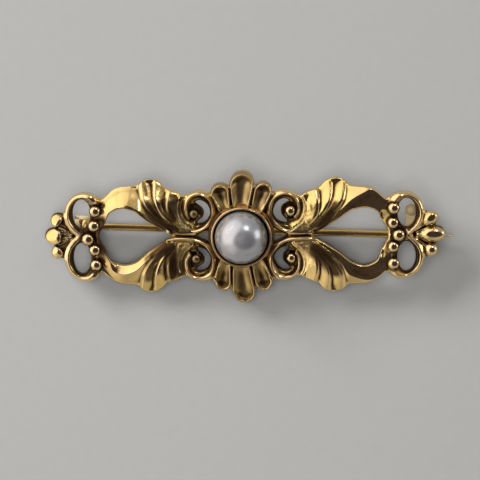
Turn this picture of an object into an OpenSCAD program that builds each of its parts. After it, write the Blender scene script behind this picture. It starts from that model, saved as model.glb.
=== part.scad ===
// Gold bar brooch: an openwork scroll and leaf casting with a pearl in its cup,
// and a hinged pin that lies in a hook behind it.
// The ornament is drawn flat, with its back at z = 0, and is then set down as it rests.

/* [Ornament] */
// Length of the ornament over its two end palmettes
ornament_length = 50; // [46:0.5:54]
// How much longer the right half is cast than the left half
right_to_left = 1.034; // [1:0.002:1.05]
// Thickness of the flat casting behind the relief
plate_thick = 1; // [0.8:0.05:1.2]
// Height of the polished arms above the back
arm_height = 1.35; // [1.2:0.05:1.6]
// Height of the leaves above the back
leaf_height = 1.6; // [1.4:0.05:1.8]
// How far the curled tips of the middle palmettes reach behind the back
palmette_drop = 1.1; // [0.8:0.05:1.3]
// How far the curled tips of the leaves reach behind the back
leaf_drop = 0.5; // [0.3:0.05:0.7]

/* [Scrolls] */
// Height of the crest of the end rings and inner scrolls above the back
crest_height = 1.5; // [1.3:0.05:1.7]
// Width of the strap that the inner scrolls are made of
strap_width = 0.85; // [0.7:0.05:1]
// Radius of the beads beside the end rings
bead_r = 0.66; // [0.55:0.01:0.72]
// Radius of the bead on the long axis
axis_bead_r = 0.74; // [0.65:0.01:0.8]

/* [Pearl and cup] */
// Diameter of the pearl, which is cut flat underneath
pearl_d = 6.6; // [6.4:0.05:6.7]
// Height of the pearl's widest part above the back
pearl_level = 2.3; // [2.2:0.05:2.4]
// Outer diameter of the cup's thin rim
cup_d = 7.85; // [7.8:0.05:8.1]
// Height of the cup's rim above the back
cup_height = 2.35; // [2.2:0.05:2.5]
// Gap between the pearl's flat underside and the cup's floor
pearl_gap = 0.05; // [0.03:0.01:0.06]

/* [Pin and hinge] */
// Radius of the pin
pin_r = 0.45; // [0.4:0.01:0.5]
// Radius of the pin at its ground point
point_r = 0.08; // [0.06:0.01:0.12]
// Length of the pin from the middle of its hinge to its point
pin_length = 46.1; // [45.5:0.1:46.5]
// Length of the ground taper at the point
taper_length = 6.8; // [6:0.1:7.5]
// Lean of the hinge's axis, which lets the pin out of its hook
hinge_lean = 35; // [32:1:40]
// Radius of the hinge's knuckle and ears
knuckle_r = 0.75; // [0.7:0.01:0.8]
// Length of the knuckle along the hinge's axis
knuckle_length = 1.1; // [1:0.05:1.2]
// Thickness of each ear
ear_thick = 0.5; // [0.4:0.05:0.6]
// Radius of the rivet's shank
rivet_r = 0.3; // [0.25:0.01:0.35]

/* [Hook] */
// Thickness of the strap that the hook is bent from
hook_thick = 0.45; // [0.4:0.01:0.5]
// Width of that strap, along the pin
hook_width = 1.5; // [1.3:0.1:1.7]
// Gap between the closed pin and the hook
hook_gap = 0.16; // [0.14:0.01:0.2]
// Gap that the pin keeps from the hook's lip as it swings out
lip_gap = 0.08; // [0.06:0.01:0.1]

/* [Hidden] */

gold = [0.80, 0.62, 0.27];
pearl_grey = [0.82, 0.81, 0.84];
$fn = 48;
eps = 0.01;

// The tables below are drawn for an ornament 50 mm long; size_k fits them to this one.
size_k = ornament_length / 50;
right_k = 2 * right_to_left / (1 + right_to_left);
left_k = 2 / (1 + right_to_left);

function at(p, side) = [p[0] * size_k * (side > 0 ? right_k : left_k), p[1] * size_k];
function all_at(points, side) = [for (p = points) at(p, side)];

// A smooth curve through the points, with this many steps between two of them
curve_steps = 5;
function blend_of(a, b, c, d, t) =
    0.5 * (2 * b + (c - a) * t + (2 * a - 5 * b + 4 * c - d) * t * t
    + (3 * b - a - 3 * c + d) * t * t * t);
function smooth(p) = let (last = len(p) - 1) concat(
    [for (i = [0 : last - 1], s = [0 : curve_steps - 1])
        blend_of(p[max(i - 1, 0)], p[i], p[i + 1], p[min(i + 2, last)], s / curve_steps)],
    [p[last]]);
function flipped(points) = [for (i = [len(points) - 1 : -1 : 0]) [points[i][0], -points[i][1]]];

// Outer edge of one quarter, between its notches. Columns: x along the brooch, y across it
scroll_edge = [[3.7, 5.3], [4.35, 5.62], [5.2, 5.78], [6.3, 5.5], [7.25, 5]];
small_lobe_edge = [[7.25, 5], [7.85, 5.42], [8.6, 5.67], [9.55, 5.97]];
large_lobe_edge = [[9.55, 5.97], [10.4, 6.75], [11.6, 7.06], [12.6, 6.8], [13.3, 6.2]];
arm_edge = [[13.3, 6.2], [15.2, 5.97], [16.4, 5.5], [17.6, 4.6], [18.6, 3.8]];
// How that edge is closed, at the middle of the ornament and at its end ring
half_start = [[0, 0], [0, 5]];
half_end = [[19, 3.2], [19.4, 0]];
// Inner sides of the raised arm and of the raised leaf, with the same columns
arm_side = [[17.9, 3], [16.95, 3.3], [15.8, 3.6], [15, 3.76], [14.2, 3.65], [13.3, 3.3], [12, 2.3],
    [10.9, 1.6], [9.6, 0.8]];
leaf_side = [[12.6, 3.3], [11.2, 2.1], [9.6, 1.2], [8.6, 1.1], [8.3, 2.4]];
leaf_tip_side = [[12.9, 6.5], [9.9, 6.3]];
// Edges of the openings of one quarter, with the same columns
window_edge = [[8.8, 0.2], [9.6, 0.6], [10.9, 1.4], [12, 2.1], [13.3, 3.1], [14.2, 3.45], [15, 3.56],
    [15.8, 3.4], [16.7, 2.9], [17.3, 1.7], [18, 0.5]];
crescent_outer = [[5.7, 4.35], [5.1, 4.45], [4.35, 4], [3.92, 3.2], [3.95, 2.6], [4.3, 2], [4.75, 1.65],
    [5.5, 1.45]];
crescent_inner = [[5.5, 1.8], [4.85, 2.35], [4.7, 3], [4.95, 3.5], [5.75, 4.1]];
// The gap beside the cup
gap_root_x = 3.9;
gap_tip_x = 5.75;
gap_half_height = 0.95;

// End rings and beads of one quarter. Columns: x, y
ring_center = [20, 2.94];
ring_outer_r = 2.5;
ring_crest_r = 2.1;
ring_inner_r = 1.4;
ring_crest_half = 0.12;
ring_start = -72;
ring_turn = 225;
ring_hole_center = [20.1, 2.95];
ring_hole_half = [1, 1.72];
bead_places = [[18.6, 3.4], [18.66, 1.5]];
axis_bead_x = 19.4;
bead_level = crest_height - 0.35;
bead_neck = 0.06;
// What the relief stands on reaches this far into the flat casting
root_level = 0.2;
// Lobes of an end palmette. Columns: x, y, radius
end_lobes = [[24, 0, 1], [23.35, 1.75, 0.78]];
end_fan = [[20, 0], [20.4, 0.9], [22.4, 2.9], [23.3, 2.45], [24, 1], [24.4, 0]];
end_lobe_level = plate_thick - 0.3;

// Lobes of a middle palmette. Columns: x, y, radius, and the angle of its scoop
middle_lobes = [[0, 6.87, 1.43, 90], [2.6, 5.6, 1.2, 64]];
middle_fan = [[0, 0], [4.1, 4], [3.6, 5.5], [2, 6.5], [0, 7]];
middle_height = leaf_height + 0.2;
scoop_r = 1.25;
scoop_level = 2.45;
scoop_start = 4.7;
scoop_length = 6;
scoop_fall = 6;
curl_inner_r = 6.95;

// Inner scroll: its round part, its eye, and the strap's straight foot
scroll_center = [5.25, 3.3];
scroll_r = 1.75;
scroll_start = -20;
scroll_turn = 270;
eye_center = [5.95, 2.95];
eye_r = 0.62;
foot_from = [4.9, 0.62];
foot_to = [9.2, 0.45];

// Grooves of a leaf. Columns: root x, root y, tip x, tip y
leaf_grooves = [[9.4, 2.2, 11.4, 6.8], [9.5, 2.4, 9.6, 6.2]];
groove_r = 0.35;
groove_cut = 0.22;
groove_run_out = 1;

// Base of the cup, stepped under its thin wall, and its flared hollow
cup_r = cup_d / 2;
rim_thick = 0.25;
base_r = cup_r + 0.45;
base_height = 1.5;
base_bevel = 0.25;
foot_r = base_r - 0.9;
foot_level = -0.3;
foot_top = 0.3;
rim_bevel = 0.08;
cup_mouth = 6;
pearl_r = pearl_d / 2;
floor_level = 0.1;
floor_r = 2.75;
neck_r = 3.22;
neck_level = 1.1;

// The pin's line, from the middle of the hinge through the middle of the hook
hinge_at = [-19.6, 0.75, -1.5];
hook_at = [21.25, -0.74, -2.2];
pin_run = hook_at - hinge_at;
pin_yaw = atan2(pin_run[1], pin_run[0]);
pin_pitch = -asin(pin_run[2] / norm(pin_run));
knuckle_gap = 0.05;
rivet_gap = 0.02;
knuckle_bore_r = rivet_r + 0.05;
ear_bore_r = rivet_r + rivet_gap;
ear_inner = knuckle_length / 2 + knuckle_gap;
ear_outer = ear_inner + ear_thick;
rivet_head_r = 0.46;
rivet_head_thick = 0.16;
bracket_back = 1.4;
bracket_thick = 0.55;
bracket_low = 0.15;
post_x = [-21.15, -20.45];
post_y = [-0.35, 1.15];
post_low = -1.3;

// The hook follows the pin's girth at its left edge, where the pin is thickest
girth_at_hook = pin_r + (point_r - pin_r) * max(0,
    norm(pin_run) - hook_width / 2 - (pin_length - taper_length)) / taper_length;
hook_mid_r = girth_at_hook + hook_gap + hook_thick / 2;
hook_path_gap = girth_at_hook + lip_gap + hook_thick / 2;
// The lip ends where the leaning way out of the hook passes it at lip_gap
lip_angle = -hinge_lean - acos(hook_path_gap / hook_mid_r);
hook_foot_end = 3.65;
hook_bend_r = 0.7;
solder = 0.1;
far = 20;

// Where the brooch touches the surface: two round things behind it and the lower palmette
hinge_low = hinge_at + [0, ear_outer * cos(hinge_lean), -ear_outer * sin(hinge_lean)];
palmette_low = [0, -(middle_lobes[0][1] + middle_lobes[0][2]) * size_k, -palmette_drop];
hook_low_r = hook_mid_r + hook_thick / 2;
function unit(v) = v / norm(v);
function up_of(up, rounds) = rounds == 0 ? up : up_of(unit(cross(
    (hook_at - hook_low_r * up) - (hinge_low - knuckle_r * up),
    (hinge_low - knuckle_r * up) - palmette_low)), rounds - 1);
rest_up = up_of([0, 0, 1], 4);
rest_pitch = atan2(rest_up[1], rest_up[2]);
rest_roll = -asin(rest_up[0]);
function turned(p) = let (
    y = p[1] * cos(rest_pitch) - p[2] * sin(rest_pitch),
    z = p[1] * sin(rest_pitch) + p[2] * cos(rest_pitch))
    [p[0] * cos(rest_roll) + z * sin(rest_roll), y, -p[0] * sin(rest_roll) + z * cos(rest_roll)];
left_end = -(end_lobes[0][0] + end_lobes[0][2]) * size_k * left_k;
right_end = hinge_at[0] + pin_length * cos(pin_yaw) * cos(pin_pitch);
rest_shift = [-(left_end + right_end) / 2, 0, -turned(palmette_low)[2]];
module at_rest() translate(rest_shift) rotate([rest_pitch, rest_roll, 0]) children();

// A frame whose X runs along the pin and whose Y is the hinge's leaning axis
module at_hinge() translate(hinge_at) rotate([0, pin_pitch, pin_yaw])
    rotate([-hinge_lean, 0, 0]) children();

module on_side(side) mirror([side > 0 ? 0 : 1, 0, 0]) children();
module both_ways() {
    children();
    mirror([0, 1, 0]) children();
}

module oval(center, half, side) {
    polygon([for (a = [0 : 10 : 350]) at(center, side) + [half[0] * cos(a), half[1] * sin(a)] * size_k]);
}

// Outline of one half, with all its windows
module half_outline(side) {
    edge = concat(smooth(scroll_edge), smooth(small_lobe_edge), smooth(large_lobe_edge), smooth(arm_edge));
    difference() {
        union() {
            both_ways() polygon(all_at(concat(half_start, edge, half_end), side));
            both_ways() polygon(all_at(end_fan, side));
            both_ways() translate(at(ring_center, side)) circle(ring_outer_r * size_k);
            for (lobe = end_lobes) both_ways() translate(at(lobe, side)) circle(lobe[2] * size_k);
        }
        polygon(all_at(concat(smooth(window_edge), flipped(smooth(window_edge))), side));
        both_ways() polygon(all_at(concat(smooth(crescent_outer), smooth(crescent_inner)), side));
        polygon(all_at([[gap_root_x, gap_half_height], [gap_tip_x, 0], [gap_root_x, -gap_half_height]],
            side));
        both_ways() oval(ring_hole_center, ring_hole_half, side);
    }
}

// Everything of one half that stands higher than the flat casting
module arm_and_leaf(side) {
    edge = concat(smooth(small_lobe_edge), smooth(large_lobe_edge));
    arm = concat(smooth(arm_edge), arm_side);
    leaf = concat(edge, leaf_side);
    linear_extrude(arm_height) polygon(all_at(arm, side));
    difference() {
        linear_extrude(leaf_height) polygon(all_at(leaf, side));
        for (g = leaf_grooves) {
            root = at([g[0], g[1]], side);
            run = at([g[2], g[3]], side) - root;
            groove_length = norm(run) + groove_run_out;
            translate([root[0], root[1], leaf_height + groove_r - groove_cut])
                rotate([0, 90, atan2(run[1], run[0])]) cylinder(h = groove_length, r = groove_r);
        }
    }
}

module leaf_tip(side) {
    tip = concat([for (i = [1 : 3]) large_lobe_edge[i]], leaf_tip_side);
    translate([0, 0, -leaf_drop]) linear_extrude(leaf_drop + plate_thick) polygon(all_at(tip, side));
}

module scroll(side) {
    run = at(foot_to, side) - at(foot_from, side);
    translate(at(scroll_center, side)) rotate([0, 0, scroll_start]) rotate_extrude(angle = scroll_turn)
        translate([scroll_r * size_k - strap_width / 2, 0]) strap_section();
    translate(at(eye_center, side)) cylinder(h = crest_height, r = eye_r);
    translate(at(foot_from, side)) rotate([90, 0, 90 + atan2(run[1], run[0])]) linear_extrude(norm(run))
        translate([-strap_width / 2, 0]) strap_section();
}

module strap_section() {
    polygon([[0, 0], [strap_width, 0], [strap_width, plate_thick], [strap_width / 2, crest_height],
        [0, plate_thick]]);
}

module ring_crest(side) {
    translate(at(ring_center, side)) rotate([0, 0, ring_start]) rotate_extrude(angle = ring_turn)
        polygon([[ring_inner_r, root_level], [ring_outer_r, root_level], [ring_outer_r, plate_thick],
            [ring_crest_r + ring_crest_half, crest_height], [ring_crest_r - ring_crest_half, crest_height]]);
}

module bead(place, r, side) {
    translate(concat(at(place, side), bead_level)) sphere(r);
    translate(at(place, side)) cylinder(h = bead_level, r = r - bead_neck);
}

module end_lobe(lobe, side) {
    intersection() {
        translate(concat(at(lobe, side), end_lobe_level)) sphere(lobe[2] * size_k);
        translate([0, -far, root_level]) cube(2 * far);
    }
}

module half_relief(side) {
    both_ways() {
        arm_and_leaf(side);
        leaf_tip(side);
        scroll(side);
        ring_crest(side);
        for (place = bead_places) bead(place, bead_r, side);
        for (lobe = end_lobes) end_lobe(lobe, side);
    }
    bead([axis_bead_x, 0], axis_bead_r, side);
}

// The two palmettes above and below the cup, scooped towards their curled tips
module middle_outline() {
    for (mx = [0, 1]) mirror([mx, 0]) both_ways() {
        polygon(middle_fan * size_k);
        for (lobe = middle_lobes) translate([lobe[0], lobe[1]] * size_k) circle(lobe[2] * size_k);
    }
}

module middle_palmettes() {
    difference() {
        linear_extrude(middle_height) middle_outline();
        for (mx = [0, 1]) mirror([mx, 0, 0]) both_ways() for (lobe = middle_lobes)
            rotate([0, 0, lobe[3]]) translate([scoop_start, 0, scoop_level]) rotate([0, 90 + scoop_fall, 0])
                cylinder(h = scoop_length, r = scoop_r);
    }
    translate([0, 0, -palmette_drop]) linear_extrude(palmette_drop + plate_thick) difference() {
        middle_outline();
        circle(curl_inner_r * size_k);
    }
}

// The cup is turned round the pearl, with a flared hollow and a stepped base
module cup_hollow() {
    polygon([[0, floor_level], [floor_r, floor_level], [neck_r, neck_level], [cup_r - rim_thick, cup_height],
        [cup_r - rim_thick, cup_mouth], [0, cup_mouth]]);
}

module cup() {
    rotate_extrude() difference() {
        polygon([[0, foot_level], [foot_r, foot_level], [base_r, foot_top],
            [base_r, base_height - base_bevel], [base_r - base_bevel, base_height],
            [cup_r, base_height], [cup_r, cup_height - rim_bevel],
            [cup_r - rim_bevel, cup_height], [0, cup_height]]);
        cup_hollow();
    }
}

// The hook's strap, bent round the pin with its mouth open along the pin's way out
module hook_section() {
    leg = hook_mid_r - hook_thick / 2;
    rise = -hook_at[2];
    intersection() {
        difference() {
            circle(hook_mid_r + hook_thick / 2);
            circle(leg);
        }
        polygon([[0, 0], [far, 0], [far, -far], far * [cos(lip_angle), sin(lip_angle)]]);
    }
    translate(hook_mid_r * [cos(lip_angle), sin(lip_angle)]) circle(hook_thick / 2);
    translate([leg, -eps]) square([hook_thick, rise - hook_bend_r + 2 * eps]);
    translate([leg + hook_bend_r, rise - hook_bend_r]) difference() {
        intersection() {
            circle(hook_bend_r);
            translate([-far, 0]) square(far);
        }
        circle(hook_bend_r - hook_thick);
    }
    translate([leg + hook_bend_r - eps, rise - hook_thick])
        square([hook_foot_end - hook_at[1] - leg - hook_bend_r - hook_width / 2, hook_thick + solder]);
}

module hook() {
    translate([hook_at[0] - hook_width / 2, hook_at[1], hook_at[2]]) rotate([90, 0, 90])
        linear_extrude(hook_width) hook_section();
    translate([hook_at[0], hook_foot_end - hook_width / 2, -hook_thick])
        cylinder(h = hook_thick + solder, r = hook_width / 2);
}

module hinge_bracket() {
    at_hinge() difference() {
        union() {
            for (s = [-1, 1]) translate([0, s * (ear_inner + ear_thick / 2), 0]) {
                rotate([90, 0, 0]) cylinder(h = ear_thick, r = knuckle_r, center = true);
                translate([-bracket_back, -ear_thick / 2, -bracket_low])
                    cube([bracket_back, ear_thick, knuckle_r + bracket_low]);
            }
            translate([-bracket_back, -ear_outer, -bracket_low])
                cube([bracket_thick, 2 * ear_outer, knuckle_r + bracket_low]);
        }
        rotate([90, 0, 0]) cylinder(h = 4 * ear_outer, r = ear_bore_r, center = true);
    }
    translate([post_x[0], post_y[0], post_low])
        cube([post_x[1] - post_x[0], post_y[1] - post_y[0], root_level - post_low]);
}

// The whole casting with its cup, bracket and hook, soldered up as one piece of metal
module frame() color(gold) at_rest() {
    difference() {
        union() {
            for (side = [-1, 1]) on_side(side) {
                linear_extrude(plate_thick) half_outline(side);
                half_relief(side);
            }
            middle_palmettes();
        }
        rotate_extrude() cup_hollow();
    }
    cup();
    hinge_bracket();
    hook();
}

module pearl() color(pearl_grey) at_rest() difference() {
    translate([0, 0, pearl_level]) sphere(pearl_r);
    translate([-far / 2, -far / 2, floor_level + pearl_gap - far]) cube(far);
}

module rivet() color(gold) at_rest() at_hinge() rotate([90, 0, 0]) {
    cylinder(h = 2 * (ear_outer + rivet_gap + eps), r = rivet_r, center = true);
    for (s = [-1, 1]) translate([0, 0, s * (ear_outer + rivet_gap + rivet_head_thick / 2)])
        cylinder(h = rivet_head_thick, r = rivet_head_r, center = true);
}

// The pin with its knuckle, a straight shank and a ground point
module pin_stem() color(gold) at_rest() at_hinge() difference() {
    union() {
        rotate([90, 0, 0]) cylinder(h = knuckle_length, r = knuckle_r, center = true);
        rotate([0, 90, 0]) cylinder(h = pin_length - taper_length, r = pin_r);
        translate([pin_length - taper_length, 0, 0]) rotate([0, 90, 0])
            cylinder(h = taper_length, r1 = pin_r, r2 = point_r);
    }
    rotate([90, 0, 0]) cylinder(h = 2 * knuckle_length, r = knuckle_bore_r, center = true);
}

frame();
pearl();
rivet();
pin_stem();
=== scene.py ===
import bpy
import math
import numpy as np
from mathutils import Matrix, Vector, kdtree, noise
from mathutils.geometry import delaunay_2d_cdt


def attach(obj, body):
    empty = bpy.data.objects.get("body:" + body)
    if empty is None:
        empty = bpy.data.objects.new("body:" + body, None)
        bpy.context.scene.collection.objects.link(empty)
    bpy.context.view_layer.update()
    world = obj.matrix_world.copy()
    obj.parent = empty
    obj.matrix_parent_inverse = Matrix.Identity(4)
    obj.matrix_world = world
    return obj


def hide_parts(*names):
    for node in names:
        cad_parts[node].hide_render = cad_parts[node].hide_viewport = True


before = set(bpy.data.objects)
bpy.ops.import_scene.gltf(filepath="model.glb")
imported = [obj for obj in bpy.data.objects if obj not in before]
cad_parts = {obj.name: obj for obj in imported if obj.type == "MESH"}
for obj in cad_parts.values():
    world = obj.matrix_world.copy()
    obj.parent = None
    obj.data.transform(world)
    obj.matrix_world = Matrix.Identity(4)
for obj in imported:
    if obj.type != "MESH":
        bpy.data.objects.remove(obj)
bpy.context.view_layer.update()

# Resting place
# The ornament is drawn flat in millimetres, with its back at z = 0 and its face up,
# and is then turned and shifted as the CAD sets it down.
REST_PITCH = math.radians(12.56838)
REST_ROLL = math.radians(-1.19545)
REST_SHIFT = Vector((-0.940253, 0, 2.879132))
TO_REST = (Matrix.Scale(0.001, 4) @ Matrix.Translation(REST_SHIFT)
           @ Matrix.Rotation(REST_ROLL, 4, "Y") @ Matrix.Rotation(REST_PITCH, 4, "X"))
RIGHT_K, LEFT_K = 1.01672, 0.98328
HINGE_AT = Vector((-19.6, 0.75, -1.5))
HOOK_AT = Vector((21.25, -0.74, -2.2))
PIN_RUN = HOOK_AT - HINGE_AT
PIN_YAW = math.atan2(PIN_RUN.y, PIN_RUN.x)
PIN_PITCH = -math.asin(PIN_RUN.z / PIN_RUN.length)
HINGE_LEAN = math.radians(35)
TO_HINGE = (Matrix.Translation(HINGE_AT) @ Matrix.Rotation(PIN_YAW, 4, "Z")
            @ Matrix.Rotation(PIN_PITCH, 4, "Y") @ Matrix.Rotation(-HINGE_LEAN, 4, "X"))


# Drawing helpers
def smooth_line(points, steps=8, closed=False):
    """A smooth line through the drawn points."""
    p = np.array(points, float)
    n = len(p)
    if closed:
        before, after, after2 = np.roll(p, 1, 0), np.roll(p, -1, 0), np.roll(p, -2, 0)
    else:
        before = p[[max(i - 1, 0) for i in range(n - 1)]]
        after = p[1:]
        after2 = p[[min(i + 2, n - 1) for i in range(n - 1)]]
        p = p[:-1]
    t = (np.arange(steps) / steps)[None, :, None]
    a, b, c, d = (q[:, None, :] for q in (before, p, after, after2))
    line = 0.5 * (2 * b + (c - a) * t + (2 * a - 5 * b + 4 * c - d) * t**2
                  + (3 * b - a - 3 * c + d) * t**3)
    line = line.reshape(-1, p.shape[1])
    return line if closed else np.vstack([line, after[-1]])


def along(x, table):
    """Value on a smooth curve through the table's pairs."""
    xs, ys = np.array(table, float).T
    slope = np.gradient(ys, xs)
    i = np.clip(np.searchsorted(xs, x) - 1, 0, len(xs) - 2)
    h = xs[i + 1] - xs[i]
    t = unit((x - xs[i]) / h)
    return ((2 * t**3 - 3 * t**2 + 1) * ys[i] + (t**3 - 2 * t**2 + t) * h * slope[i]
            + (3 * t**2 - 2 * t**3) * ys[i + 1] + (t**3 - t**2) * h * slope[i + 1])


def unit(x):
    return np.clip(x, 0, 1)


def ramp(x, low, high):
    t = unit((x - low) / (high - low))
    return t * t * (3 - 2 * t)


def fade(x, low, high):
    return 1 - ramp(x, low, high)


def soft_max(a, b, k=0.06):
    h = unit(0.5 + 0.5 * (a - b) / k)
    return b + (a - b) * h + k * h * (1 - h)


def soft_min(a, b, k=0.06):
    return -soft_max(-a, -b, k)


def beside(p, line):
    """How far each point is from a line (positive on its left), and how far along the line."""
    a, b = line[:-1], line[1:]
    run = b - a
    length2 = np.maximum((run**2).sum(1), 1e-12)
    start = np.concatenate([[0], np.cumsum(np.sqrt(length2))[:-1]])
    best = np.full(len(p), 1e9)
    side = np.ones(len(p))
    place = np.zeros(len(p))
    for i in range(len(a)):
        rx, ry = p[:, 0] - a[i, 0], p[:, 1] - a[i, 1]
        t = unit((rx * run[i, 0] + ry * run[i, 1]) / length2[i])
        dx, dy = rx - t * run[i, 0], ry - t * run[i, 1]
        d2 = dx * dx + dy * dy
        nearer = d2 < best
        best = np.where(nearer, d2, best)
        side = np.where(nearer, np.sign(run[i, 0] * ry - run[i, 1] * rx), side)
        place = np.where(nearer, start[i] + t * math.sqrt(length2[i]), place)
    return np.sqrt(best) * np.where(side == 0, 1, side), place


def within(p, ring):
    """Whether points lie inside a closed outline."""
    odd = np.zeros(len(p), bool)
    for (x0, y0), (x1, y1) in zip(ring, np.roll(ring, -1, 0)):
        if y0 != y1:
            crosses = (y0 > p[:, 1]) != (y1 > p[:, 1])
            odd ^= crosses & (p[:, 0] < (x1 - x0) * (p[:, 1] - y0) / (y1 - y0) + x0)
    return odd


def inside_by(p, ring):
    """How deep each point is inside a closed outline, negative outside."""
    d = np.abs(beside(p, np.vstack([ring, ring[:1]]))[0])
    return np.where(within(p, ring), d, -d)


def far_from(p, place):
    return np.hypot(*(p - place).T)


def waves(points, scale, layer):
    """Smooth noise at flat points."""
    return np.array([noise.noise((x * scale, y * scale, layer)) for x, y in points])


def tree_of(points):
    """A search tree of flat points."""
    tree = kdtree.KDTree(len(points))
    for i, (x, y) in enumerate(points):
        tree.insert((x, y, 0), i)
    tree.balance()
    return tree


def nearest(tree, points):
    """Distance from each point to the nearest one of the tree."""
    return np.array([tree.find((x, y, 0))[2] for x, y in points])


# Drawn lines of one quarter
# Columns everywhere: u along the brooch, v across it, in millimetres from the middle.
SCROLL_EDGE = [[3.7, 5.3], [4.35, 5.62], [5.2, 5.78], [6.3, 5.5], [7.25, 5]]
SMALL_LOBE_EDGE = [[7.25, 5], [7.85, 5.42], [8.6, 5.67], [9.55, 5.97]]
LARGE_LOBE_EDGE = [[9.55, 5.97], [10.4, 6.75], [11.6, 7.06], [12.6, 6.8], [13.3, 6.2]]
ARM_EDGE = [[13.3, 6.2], [15.2, 5.97], [16.4, 5.5], [17.6, 4.6], [18.6, 3.8]]
WINDOW_EDGE = [[8.8, 0.2], [9.6, 0.6], [10.9, 1.4], [12, 2.1], [13.3, 3.1], [14.2, 3.45],
               [15, 3.56], [15.8, 3.4], [16.7, 2.9], [17.3, 1.7], [18, 0.5]]
CRESCENT = [[5.7, 4.35], [5.1, 4.45], [4.35, 4], [3.92, 3.2], [3.95, 2.6], [4.3, 2], [4.75, 1.65],
            [5.5, 1.45], [5.5, 1.8], [4.85, 2.35], [4.7, 3], [4.95, 3.5], [5.75, 4.1]]
RING_CENTER, RING_R = (19.87, 2.96), 2.55
RING_HOLE = (20.3, 2.8, 1.12, 1.88)
END_LOBES = [(24, 0, 1.02), (23.35, 2.05, 0.88)]
END_FAN = [[20, 0], [20.4, 0.9], [22.4, 3.1], [23.3, 2.7], [23.95, 1.05], [24.4, 0]]
MIDDLE_LOBES = [(0, 6.6, 1.56), (2.6, 5.6, 1.2)]
MIDDLE_FAN = [[0, 0], [4.1, 4], [3.6, 5.5], [2, 6.3], [0, 7]]
# Raised knobs of the end palmettes in each corner.
# Columns: u, v, turn, half length, half width, height
LEFT_TIP, RIGHT_TIP = (24.0, 0, 0, 1.08, 1.04, 0.9), (23.5, 0, 0, 1.65, 1.05, 1.0)
END_KNOBS = {
    (-1, 1): [LEFT_TIP, (23.6, 2.12, 0.7, 0.72, 0.9, 0.85)],
    (-1, -1): [LEFT_TIP, (23.6, 2.08, 0.7, 0.72, 0.84, 0.8)],
    (1, 1): [RIGHT_TIP, (23.15, 2.05, 0.75, 1.2, 0.95, 0.95)],
    (1, -1): [RIGHT_TIP, (23.3, 1.98, 0.6, 0.9, 0.9, 0.95)],
}

RING_CREST = smooth_line([
    [20.2, -0.15], [20.75, 0.45], [21.5, 1.2], [21.95, 2.1], [22.02, 3], [21.75, 3.95],
    [21.1, 4.7], [20.2, 5.1], [19.3, 4.95], [18.75, 4.4], [18.65, 3.7]])
SCROLL_CREST = smooth_line([
    [9.6, 0.55], [8.6, 0.4], [7.4, 0.36], [6.2, 0.46], [5.2, 0.72], [4.45, 1.2], [3.9, 2],
    [3.58, 2.9], [3.6, 3.9], [4.1, 4.8], [5.1, 5.33], [6.1, 5.2], [6.78, 4.6], [7.05, 3.75],
    [7.0, 3.0], [6.6, 2.35], [6.05, 2.05], [5.55, 2.15]])
# Edges of the leaf's three lobes, from the arm to the scroll
LOBE_EDGES = [smooth_line(line) for line in (
    [[13.25, 6.6], [13.15, 5.7], [12.8, 4.4], [12.1, 3.25], [11.3, 2.45], [10.5, 1.75],
     [9.7, 1.15], [8.9, 0.75]],
    [[11.55, 7.3], [11.45, 6.3], [11.35, 5], [10.9, 3.8], [10.2, 2.8], [9.4, 1.9], [8.6, 1.15]],
    [[9.4, 6.5], [9.65, 5.9], [9.85, 4.7], [9.8, 3.5], [9.45, 2.6], [8.9, 1.8], [8.2, 1.1]],
    [[7.3, 5.4], [7.75, 4.9], [8.05, 3.9], [7.95, 2.7], [7.4, 1.6], [6.6, 0.95]])]
# The arm's ridge was filed by hand, differently in each corner.
# Keys: 1 for right and -1 for left, then 1 for upper and -1 for lower
ARM_RIDGES = {
    (-1, 1): [[18.3, 2.4], [17.5, 2.75], [16.7, 3.5], [15.9, 3.92], [15, 4.05], [14.2, 3.95],
              [13.3, 3.6], [12.3, 3.0], [11.3, 2.25], [10.4, 1.55], [9.6, 1.0]],
    (-1, -1): [[18.5, 2.6], [17.3, 3.5], [16.1, 4.33], [15, 4.6], [13.95, 4.4], [13.1, 3.95],
               [12.3, 3.25], [11.3, 2.45], [10.4, 1.68], [9.6, 1.05]],
    (1, 1): [[18.6, 4.3], [17.3, 5.0], [16.1, 5.6], [14.8, 5.2], [13.6, 4.6], [12.5, 3.6],
             [11.4, 2.6], [10.4, 1.72], [9.6, 1.05]],
    (1, -1): [[18.6, 4.1], [17.3, 4.9], [15.7, 5.4], [14.3, 5.2], [13.2, 4.75], [12.4, 3.6],
              [11.3, 2.5], [10.4, 1.7], [9.6, 1.05]],
}
ARM_RIDGES = {corner: smooth_line(line) for corner, line in ARM_RIDGES.items()}
# Slopes of the arm's two facets, outside its ridge and towards the window
ARM_SLOPES = {(-1, 1): (0.66, -0.5), (-1, -1): (0.46, 0.6),
              (1, 1): (0.52, 0.04), (1, -1): (0.5, 0.0)}
# Height of the arm's ridge along the brooch, to the right and to the left
ARM_TOPS = {
    1: [(9, 1.3), (11, 1.5), (12.5, 1.62), (14, 1.58), (16, 1.45), (18, 1.25), (19, 1.1)],
    -1: [(9, 1.3), (11, 1.55), (12.5, 1.8), (14, 1.7), (16, 1.35), (18, 0.98), (19, 0.9)],
}
# Height of the leaves across the brooch, above and below its middle
LEAF_TOPS = {
    1: [(0, 1.4), (0.8, 1.5), (1.6, 1.6), (2.6, 1.72), (3.6, 1.78), (4.3, 1.68), (5.1, 1.28),
        (6, 0.76), (7.2, 0.12)],
    -1: [(0, 0.95), (0.8, 1.3), (1.6, 1.55), (2.6, 1.68), (3.8, 1.74), (4.6, 1.64), (5.4, 1.4),
         (6.2, 1.1), (7.2, 0.72)],
}
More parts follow.
